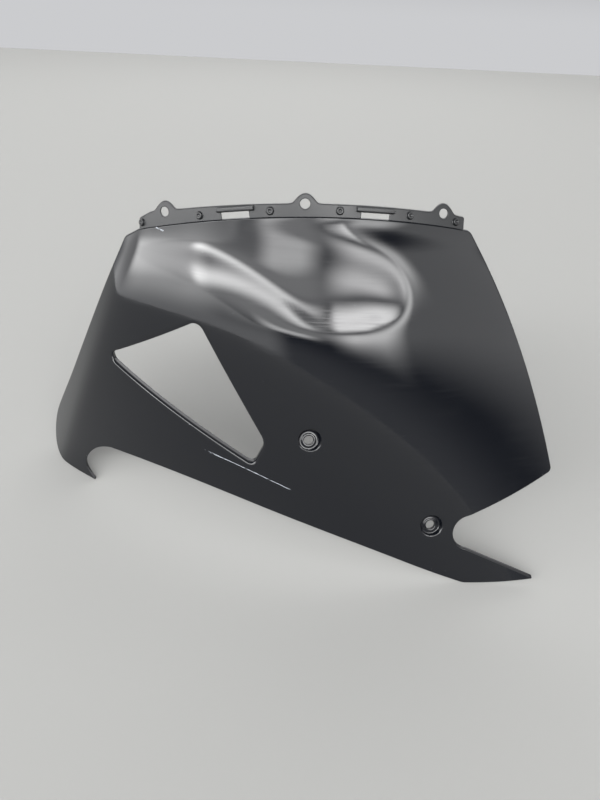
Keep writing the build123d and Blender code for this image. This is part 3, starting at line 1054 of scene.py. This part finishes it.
class FAIRING_OT_stage(bpy.types.Operator):
    """Builds the floor, the lights and the camera"""
    bl_idname = "fairing.stage"
    bl_label = "Build stage"

    def execute(self, context):
        scene, look = context.scene, context.scene.fairing_finish
        level = CAD_BOX[0][2] / MM - FLOOR_GAP
        square = [(-1, -1), (1, -1), (1, 1), (-1, 1)]
        corners = np.array([(x * FLOOR_REACH, y * FLOOR_REACH, level) for x, y in square])
        # Pale paint that hardly mirrors
        paint = bpy.data.materials.new("matt_floor_paint")
        paint.use_nodes = True
        shader = paint.node_tree.nodes["Principled BSDF"]
        shader.inputs["Base Color"].default_value = (*look.floor, 1)
        shader.inputs["Roughness"].default_value = 0.9
        shader.inputs["Specular IOR Level"].default_value = 0.1
        floor = write_mesh("studio_floor", corners, [np.array([[0, 1, 2, 3]])], [paint])

        world = bpy.data.worlds.new("soft_surroundings")
        world.use_nodes = True
        tree = world.node_tree
        way = add(tree, "ShaderNodeTexCoord").outputs["Generated"]
        rise = add(tree, "ShaderNodeSeparateXYZ", {0: way}).outputs["Z"]
        lights = [add(tree, "ShaderNodeMapRange", {"Value": rise}, span(*part),
                      interpolation_type="SMOOTHSTEP").outputs["Result"]
                  for part in (SKY_AROUND, SKY_OVERHEAD)]
        light = add(tree, "ShaderNodeMath", {0: lights[0], 1: lights[1]}, operation="ADD").outputs[0]
        sky = tree.nodes["Background"]
        sky.inputs["Color"].default_value = (*look.world, 1)
        tree.links.new(light, sky.inputs["Strength"])
        scene.world = world
        for lamp in (*SOFTBOXES, BACK_LIGHT):
            softbox(*lamp)

        camera = bpy.data.cameras.new("picture_camera")
        camera.sensor_width = SENSOR
        camera.lens = CAMERA_FOCUS / PICTURE_HEIGHT * SENSOR
        camera.clip_start, camera.clip_end = 0.01, 100.0
        made = bpy.data.objects.new("picture_camera", camera)
        up, back = -Vector(CAMERA_DOWN), -Vector(CAMERA_FORWARD)
        turn = Matrix((CAMERA_RIGHT, up, back)).transposed().to_4x4()
        made.matrix_world = Matrix.Translation([c * MM for c in CAMERA_PLACE]) @ turn
        scene.collection.objects.link(made)
        scene.camera = made
        scene.view_settings.view_transform = "Standard"
        return {"FINISHED"}


class FAIRING_PT_panel(bpy.types.Panel):
    """Lists the sizes, the finishes and the build steps"""
    bl_idname = "FAIRING_PT_panel"
    bl_label = "Fairing panel"
    bl_space_type = "VIEW_3D"
    bl_region_type = "UI"
    bl_category = "Fairing"

    def draw(self, context):
        for name in GROUPS:
            group, column = getattr(context.scene, name), self.layout.column()
            for size in group.__annotations__:
                column.prop(group, size)
        for operator in OPERATORS:
            self.layout.operator(operator.bl_idname)


GROUPS = {
    "fairing_skin": FAIRING_PG_skin,
    "fairing_flange": FAIRING_PG_flange,
    "fairing_finish": FAIRING_PG_finish,
}
OPERATORS = [FAIRING_OT_skin, FAIRING_OT_flange, FAIRING_OT_studs, FAIRING_OT_ribs, FAIRING_OT_stage]


def register():
    for group in GROUPS.values():
        bpy.utils.register_class(group)
    for name, group in GROUPS.items():
        setattr(bpy.types.Scene, name, bpy.props.PointerProperty(type=group))
    for kind in (*OPERATORS, FAIRING_PT_panel):
        bpy.utils.register_class(kind)


def unregister():
    for kind in (FAIRING_PT_panel, *reversed(OPERATORS)):
        bpy.utils.unregister_class(kind)
    for name in GROUPS:
        delattr(bpy.types.Scene, name)
    for group in reversed(list(GROUPS.values())):
        bpy.utils.unregister_class(group)


def main():
    register()
    bpy.ops.fairing.skin()
    bpy.ops.fairing.flange()
    bpy.ops.fairing.studs()
    bpy.ops.fairing.ribs()
    bpy.ops.fairing.stage()


if __name__ == "__main__":
    main()
